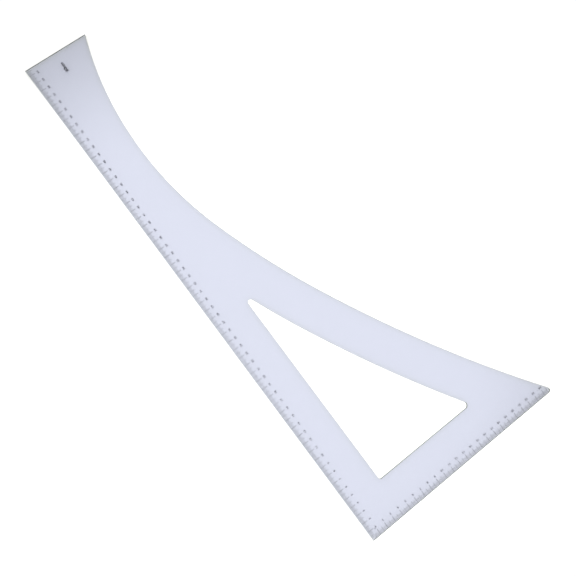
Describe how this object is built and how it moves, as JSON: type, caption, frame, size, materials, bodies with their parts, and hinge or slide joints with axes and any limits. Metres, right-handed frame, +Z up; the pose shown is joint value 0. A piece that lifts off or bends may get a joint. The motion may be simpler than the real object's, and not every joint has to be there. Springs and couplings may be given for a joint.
{
  "type": "french curve",
  "caption": "Clear acrylic pattern-drafting french curve: right-angle corner, long hip curve, rounded tip, curved-side triangular window and two printed centimetre scales.",
  "frame": {"origin": "middle of the bounding box, on the plane that the underside lies on", "axes": "+X along the short scale's edge, away from the zero corner; +Y along the long scale's edge, away from the zero corner; +Z up, out of the printed face"},
  "size_m": [0.2484, 0.6076, 0.0025],
  "materials": {
    "clear_acrylic": "clear, polished, with a faint lavender tint",
    "long_scale_ink": "matt screen-printed ink",
    "short_scale_ink": "matt screen-printed ink"
  },
  "bodies": {
    "root": {"blade": "clear_acrylic", "long_scale_graduations": "long_scale_ink", "short_scale_graduations": "short_scale_ink"}
  },
  "joints": []
}
